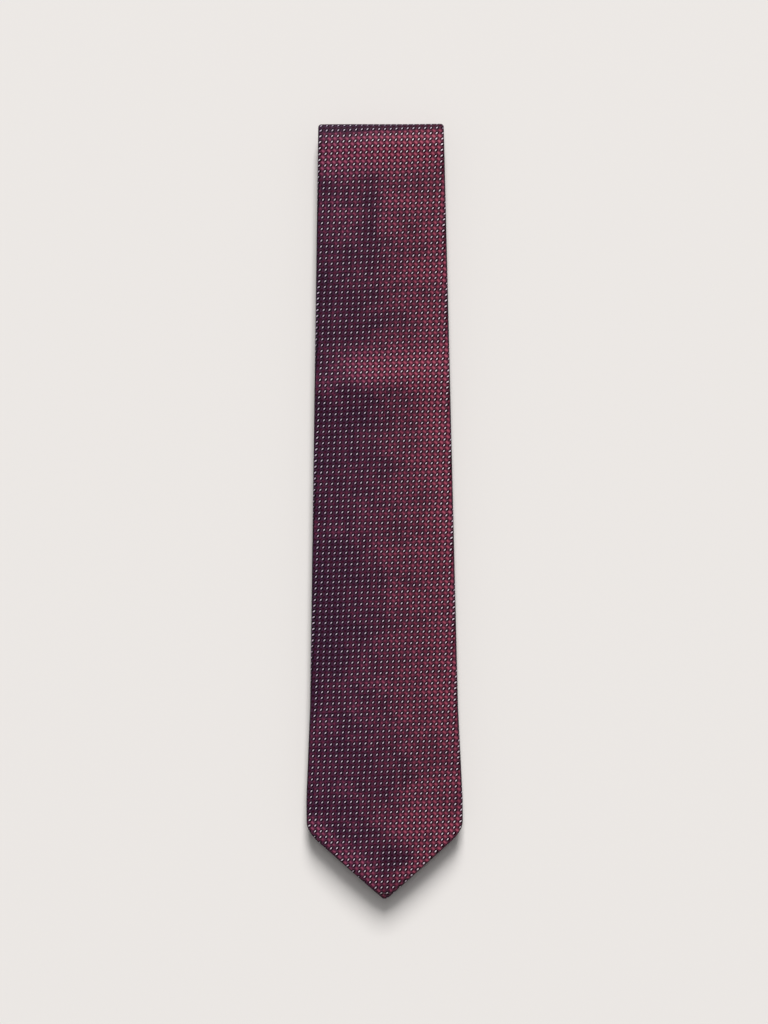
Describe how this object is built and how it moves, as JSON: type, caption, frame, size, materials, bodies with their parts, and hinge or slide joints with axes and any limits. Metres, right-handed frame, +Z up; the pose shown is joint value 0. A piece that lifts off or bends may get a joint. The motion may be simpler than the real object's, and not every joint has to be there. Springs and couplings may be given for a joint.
{
  "type": "necktie",
  "caption": "Lined silk necktie with pin dots, folded in four and laid flat, with a keeper loop and blank label on its back; every fold opens out flat.",
  "frame": {"origin": "centre of the overall box at its base, which is the underside of the tail run", "axes": "+X across the tie, +Y from the blade's point towards the top fold, +Z up, out of the front of the blade"},
  "size_m": [0.0798, 0.396, 0.0154],
  "materials": {
    "silk_shell": "burgundy and near-black silk jacquard with lilac-white pin dots, soft sheen",
    "wool_interlining": "brushed wool, matte",
    "satin_lining": "dark burgundy satin",
    "sewing_thread": "dark burgundy thread",
    "woven_label": "dark woven damask, blank",
    "care_label_satin": "pale satin tape, blank"
  },
  "bodies": {
    "blade_run": {"blade_shell": "silk_shell", "blade_interlining": "wool_interlining", "blade_tipping": "satin_lining", "blade_slip_stitch": "sewing_thread", "slip_stitch_slack_loop": "sewing_thread", "blade_bar_tack": "sewing_thread", "keeper_loop": "silk_shell", "keeper_tack_left": "sewing_thread", "keeper_tack_right": "sewing_thread", "back_label": "woven_label", "label_stitch_left": "sewing_thread", "label_stitch_right": "sewing_thread", "care_label": "care_label_satin"},
    "inner_run": {"blade_shell_upper": "silk_shell", "neck_shell_front": "silk_shell", "blade_neck_join": "sewing_thread", "inner_interlining": "wool_interlining", "inner_slip_stitch": "sewing_thread", "top_fold_turn": "silk_shell"},
    "neck_run": {"neck_shell_rear": "silk_shell", "tail_shell_upper": "silk_shell", "neck_tail_join": "sewing_thread", "neck_interlining": "wool_interlining", "neck_slip_stitch": "sewing_thread", "inner_fold_turn": "silk_shell"},
    "tail_run": {"tail_shell": "silk_shell", "tail_interlining": "wool_interlining", "tail_tipping": "satin_lining", "tail_slip_stitch": "sewing_thread", "tail_bar_tack": "sewing_thread", "tail_slack_loop": "sewing_thread", "rear_fold_turn": "silk_shell"}
  },
  "joints": [
    {"name": "top_fold", "type": "hinge", "parent": "inner_run", "child": "blade_run", "pos_m": [0, 0.1941, 0.0115], "axis": [-1, 0, 0], "range_deg": [0, 179.5], "deforming": ["top_fold_turn"]},
    {"name": "inner_fold", "type": "hinge", "parent": "neck_run", "child": "inner_run", "pos_m": [0, -0.1758, 0.0075], "axis": [1, 0, 0], "range_deg": [0, 179.5], "deforming": ["inner_fold_turn"]},
    {"name": "rear_fold", "type": "hinge", "parent": "tail_run", "child": "neck_run", "pos_m": [0, 0.1941, 0.0037], "axis": [-1, 0, 0], "range_deg": [0, 179.5], "deforming": ["rear_fold_turn"]}
  ]
}
